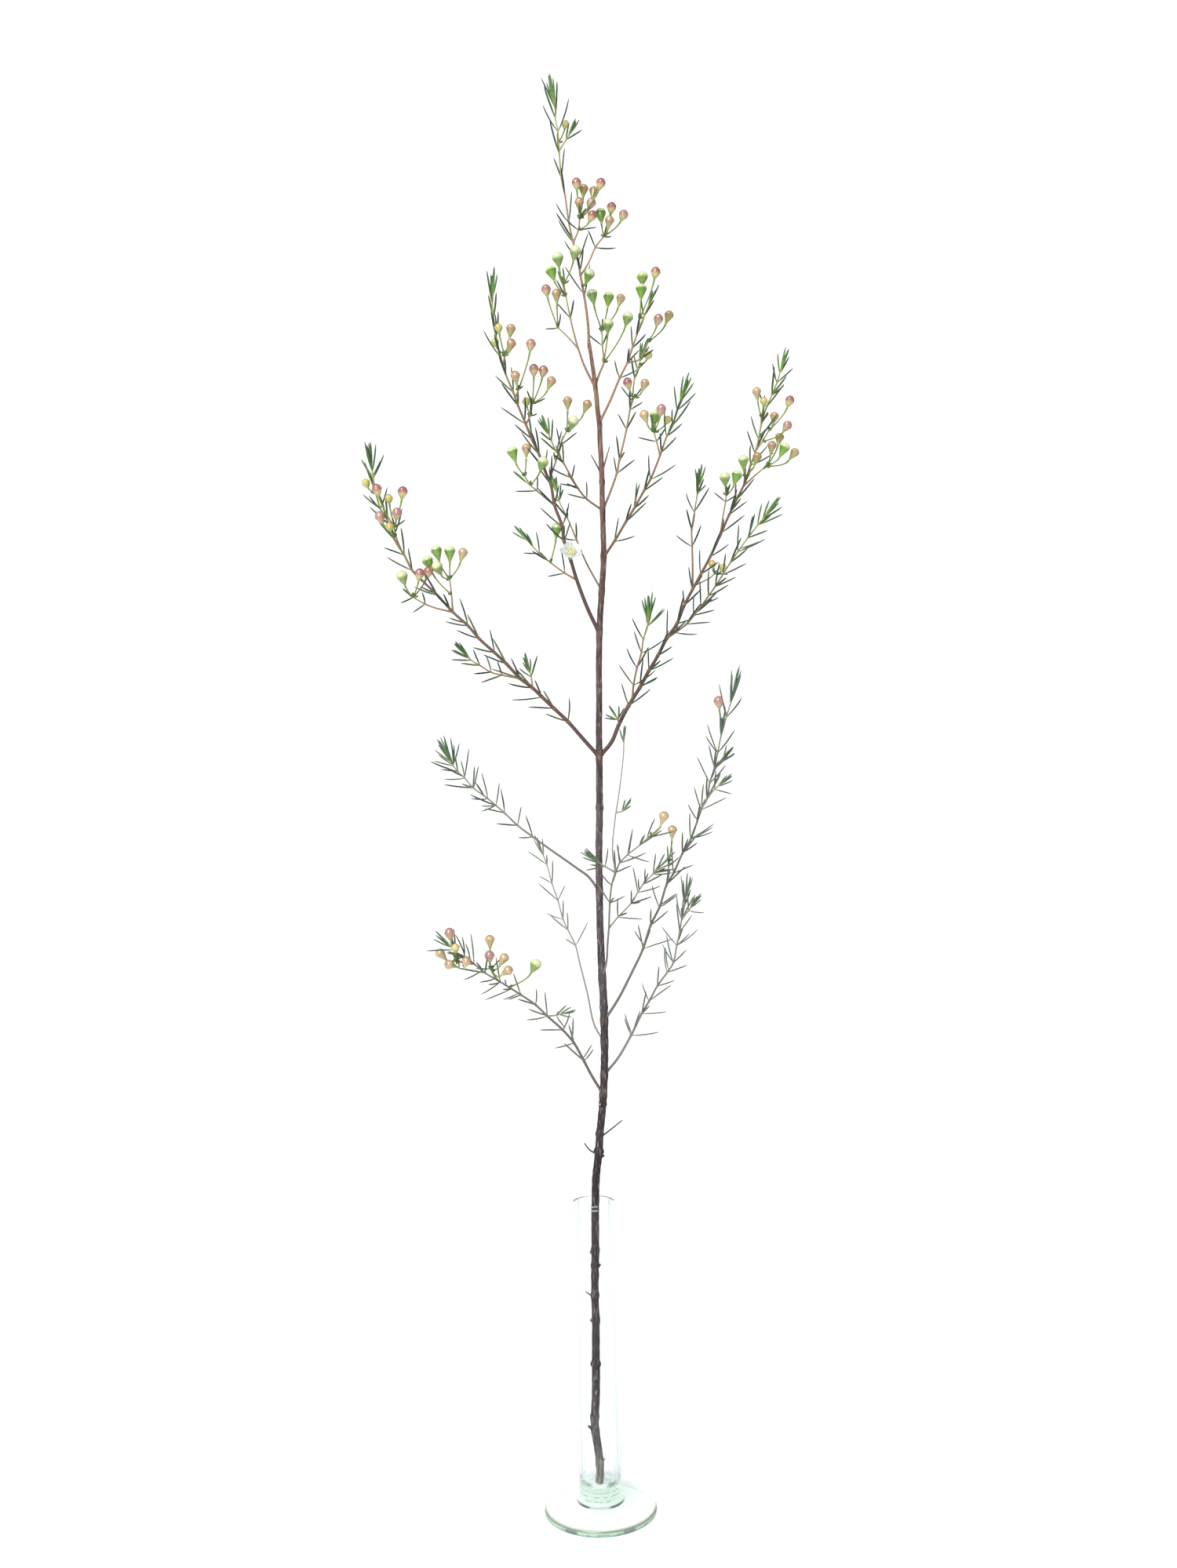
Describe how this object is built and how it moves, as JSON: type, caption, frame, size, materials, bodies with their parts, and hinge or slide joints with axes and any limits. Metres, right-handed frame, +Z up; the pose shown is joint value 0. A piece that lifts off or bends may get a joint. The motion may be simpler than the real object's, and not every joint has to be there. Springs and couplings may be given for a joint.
{
  "type": "waxflower stem in a tube vase",
  "caption": "Cut waxflower stem with needle leaves, bud sprays and an open bloom, standing in a slender clear glass tube vase on a round foot.",
  "frame": {"origin": "centre of the underside of the vase's round foot, on the surface it stands on", "axes": "+Z up along the vase's tube, +X to the right and -Y towards the viewer in the front view"},
  "size_m": [0.2833, 0.1206, 0.9313],
  "materials": {
    "glass": "clear, polished, faintly green where it is thick",
    "bark": "dry fissured bark, matte",
    "leaf": "needle leaves on thin reddish twigs, softly waxy",
    "bud": "waxy pink, tan and green buds on yellow-green stalks, satin",
    "petal": "waxy white petals round a pale yellow cup, satin"
  },
  "bodies": {
    "root": {"vase": "glass", "main_stem": "bark", "leader": "leaf", "leader_buds_upper": "bud", "leader_buds_lower": "bud", "leader_bud_green": "bud", "leader_bud_tip": "bud", "fork_spray_left": "bud", "fork_spray_right": "bud", "branch_14_right": "leaf", "branch_14_buds_upper": "bud", "branch_14_buds_side": "bud", "branch_13_right": "leaf", "branch_13_buds": "bud", "branch_13_bud_tip": "bud", "branch_12_right": "leaf", "branch_12_buds": "bud", "branch_11_left": "leaf", "branch_10_left": "leaf", "branch_09_left": "leaf", "branch_09_buds_top": "bud", "branch_09_buds_upper": "bud", "branch_09_buds_middle": "bud", "branch_09_bud_low": "bud", "branch_09_buds_left": "bud", "branch_09_buds_inner": "bud", "branch_08_right": "leaf", "branch_08_buds_tip": "bud", "branch_08_buds_upper": "bud", "branch_08_buds_right": "bud", "branch_08_buds_inner": "bud", "branch_08_buds_left": "bud", "branch_08_buds_low": "bud", "branch_07_left": "leaf", "branch_07_buds_left": "bud", "branch_07_buds_right": "bud", "branch_07_buds_top": "bud", "branch_07_bud_tip": "bud", "branch_06_left": "leaf", "branch_05_left": "leaf", "branch_04_middle": "leaf", "branch_04_bud": "bud", "branch_03_right": "leaf", "branch_03_bud_low": "bud", "branch_03_bud_high": "bud", "branch_02_right": "leaf", "branch_01_left": "leaf", "branch_01_buds_tip": "bud", "branch_01_buds_upper": "bud", "branch_01_bud_right": "bud", "open_flower": "petal"}
  },
  "joints": []
}
